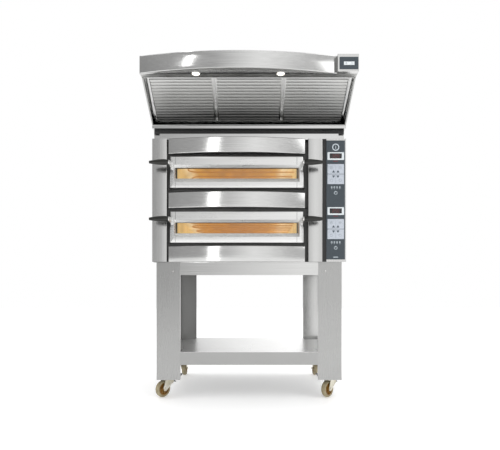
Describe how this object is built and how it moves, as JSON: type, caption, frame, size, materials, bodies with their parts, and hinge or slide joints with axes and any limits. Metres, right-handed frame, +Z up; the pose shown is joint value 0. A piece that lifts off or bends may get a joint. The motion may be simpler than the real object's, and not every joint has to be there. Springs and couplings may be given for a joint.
{
  "type": "deck pizza oven",
  "caption": "Free-standing twin-deck electric pizza oven in stainless steel on a castor stand, with drop-down glazed doors, a side control column and an extraction hood.",
  "frame": {"origin": "on the floor, under the centre of the whole object's outer box", "axes": "+X to the right seen from the front, +Y from the front to the back, +Z up"},
  "size_m": [1.15, 1.291, 1.932],
  "materials": {
    "stainless": "satin",
    "stand_steel": "satin",
    "door_steel": "satin",
    "chamber_steel": "satin",
    "filter_steel": "satin",
    "element_steel": "matte",
    "galvanised": "satin",
    "bolt_steel": "satin",
    "castor_zinc": "satin",
    "castor_wheel": "satin",
    "black_plastic": "matte",
    "bakelite": "satin",
    "refractory": "matte",
    "oven_glass": "polished",
    "lamp_glass": "satin",
    "seal_rope": "matte",
    "panel_dark": "satin",
    "keypad_grey": "satin",
    "display_bezel": "satin",
    "switch_white": "satin"
  },
  "bodies": {
    "oven": {"leg_front_left": "stand_steel", "leg_front_right": "stand_steel", "leg_rear_left": "stand_steel", "leg_rear_right": "stand_steel", "stand_beams": "stand_steel", "stand_rails": "stand_steel", "lower_shelf": "stand_steel", "stand_bolts": "bolt_steel", "castor_plates": "castor_zinc", "oven_base": "stainless", "side_panel_left": "stainless", "side_panel_right": "stainless", "back_panel": "stainless", "roof_panel": "stainless", "pillar_left": "stainless", "pillar_right": "stainless", "band_bottom": "stainless", "band_middle": "stainless", "band_top": "stainless", "chamber_lower": "chamber_steel", "stone_lower": "refractory", "elements_lower": "element_steel", "chamber_upper": "chamber_steel", "stone_upper": "refractory", "elements_upper": "element_steel", "chamber_lamps": "lamp_glass", "door_seals": "seal_rope", "control_panel": "panel_dark", "keypads": "keypad_grey", "displays": "display_bezel", "cable_gland": "black_plastic", "hood_base": "stainless", "hood_canopy": "stainless", "hood_fascia": "stainless", "hood_lights": "lamp_glass", "hood_control_box": "panel_dark", "fan_housing": "galvanised"},
    "door_lower": {"door_frame_lower": "door_steel", "door_inner_lower": "door_steel", "door_glass_lower": "oven_glass", "door_grips_lower": "bakelite"},
    "door_upper": {"door_frame_upper": "door_steel", "door_inner_upper": "door_steel", "door_glass_upper": "oven_glass", "door_grips_upper": "bakelite"},
    "swivel_front_left": {"castor_fork_front_left": "castor_zinc"},
    "wheel_front_left": {"castor_wheel_front_left": "castor_wheel"},
    "brake_front_left": {"brake_pedal_front_left": "black_plastic"},
    "swivel_front_right": {"castor_fork_front_right": "castor_zinc"},
    "wheel_front_right": {"castor_wheel_front_right": "castor_wheel"},
    "brake_front_right": {"brake_pedal_front_right": "black_plastic"},
    "swivel_rear_left": {"castor_fork_rear_left": "castor_zinc"},
    "wheel_rear_left": {"castor_wheel_rear_left": "castor_wheel"},
    "swivel_rear_right": {"castor_fork_rear_right": "castor_zinc"},
    "wheel_rear_right": {"castor_wheel_rear_right": "castor_wheel"},
    "filter_left": {"filter_left": "filter_steel"},
    "filter_middle": {"filter_middle": "filter_steel"},
    "filter_right": {"filter_right": "filter_steel"},
    "impeller": {"fan_impeller": "galvanised"},
    "rocker": {"hood_switch": "switch_white"}
  },
  "joints": [
    {"name": "door_hinge_lower", "type": "hinge", "parent": "oven", "child": "door_lower", "pos_m": [-0.073, -0.2345, 0.94], "axis": [1, 0, 0], "range_deg": [0, 90]},
    {"name": "door_hinge_upper", "type": "hinge", "parent": "oven", "child": "door_upper", "pos_m": [-0.073, -0.2345, 1.266], "axis": [1, 0, 0], "range_deg": [0, 90]},
    {"name": "castor_swivel_front_left", "type": "hinge", "parent": "oven", "child": "swivel_front_left", "pos_m": [-0.499, -0.1565, 0.128], "axis": [0, 0, 1], "continuous": true},
    {"name": "wheel_spin_front_left", "type": "hinge", "parent": "swivel_front_left", "child": "wheel_front_left", "pos_m": [-0.52343, -0.18561, 0.05], "axis": [0.766, -0.6428, 0], "continuous": true},
    {"name": "brake_press_front_left", "type": "hinge", "parent": "swivel_front_left", "child": "brake_front_left", "pos_m": [-0.48293, -0.13735, 0.098], "axis": [-0.766, 0.6428, 0], "range_deg": [0, 14]},
    {"name": "castor_swivel_front_right", "type": "hinge", "parent": "oven", "child": "swivel_front_right", "pos_m": [0.499, -0.1565, 0.128], "axis": [0, 0, 1], "continuous": true},
    {"name": "wheel_spin_front_right", "type": "hinge", "parent": "swivel_front_right", "child": "wheel_front_right", "pos_m": [0.47457, -0.18561, 0.05], "axis": [0.766, -0.6428, 0], "continuous": true},
    {"name": "brake_press_front_right", "type": "hinge", "parent": "swivel_front_right", "child": "brake_front_right", "pos_m": [0.51507, -0.13735, 0.098], "axis": [-0.766, 0.6428, 0], "range_deg": [0, 14]},
    {"name": "castor_swivel_rear_left", "type": "hinge", "parent": "oven", "child": "swivel_rear_left", "pos_m": [-0.499, 0.5575, 0.128], "axis": [0, 0, 1], "continuous": true},
    {"name": "wheel_spin_rear_left", "type": "hinge", "parent": "swivel_rear_left", "child": "wheel_rear_left", "pos_m": [-0.499, 0.5955, 0.05], "axis": [-1, 0, 0], "continuous": true},
    {"name": "castor_swivel_rear_right", "type": "hinge", "parent": "oven", "child": "swivel_rear_right", "pos_m": [0.499, 0.5575, 0.128], "axis": [0, 0, 1], "continuous": true},
    {"name": "wheel_spin_rear_right", "type": "hinge", "parent": "swivel_rear_right", "child": "wheel_rear_right", "pos_m": [0.499, 0.5955, 0.05], "axis": [-1, 0, 0], "continuous": true},
    {"name": "filter_lift_left", "type": "slide", "parent": "oven", "child": "filter_left", "axis": [0, -0.8586, 0.5127], "range_m": [0, 0.03]},
    {"name": "filter_lift_middle", "type": "slide", "parent": "oven", "child": "filter_middle", "axis": [0, -0.8586, 0.5127], "range_m": [0, 0.03]},
    {"name": "filter_lift_right", "type": "slide", "parent": "oven", "child": "filter_right", "axis": [0, -0.8586, 0.5127], "range_m": [0, 0.03]},
    {"name": "impeller_spin", "type": "hinge", "parent": "oven", "child": "impeller", "pos_m": [0, 0.3455, 1.71], "axis": [0, 0, 1], "continuous": true},
    {"name": "rocker_tip", "type": "hinge", "parent": "oven", "child": "rocker", "pos_m": [0.524, -0.604, 1.83085], "axis": [0, 0, 1], "range_deg": [-6, 6]}
  ]
}
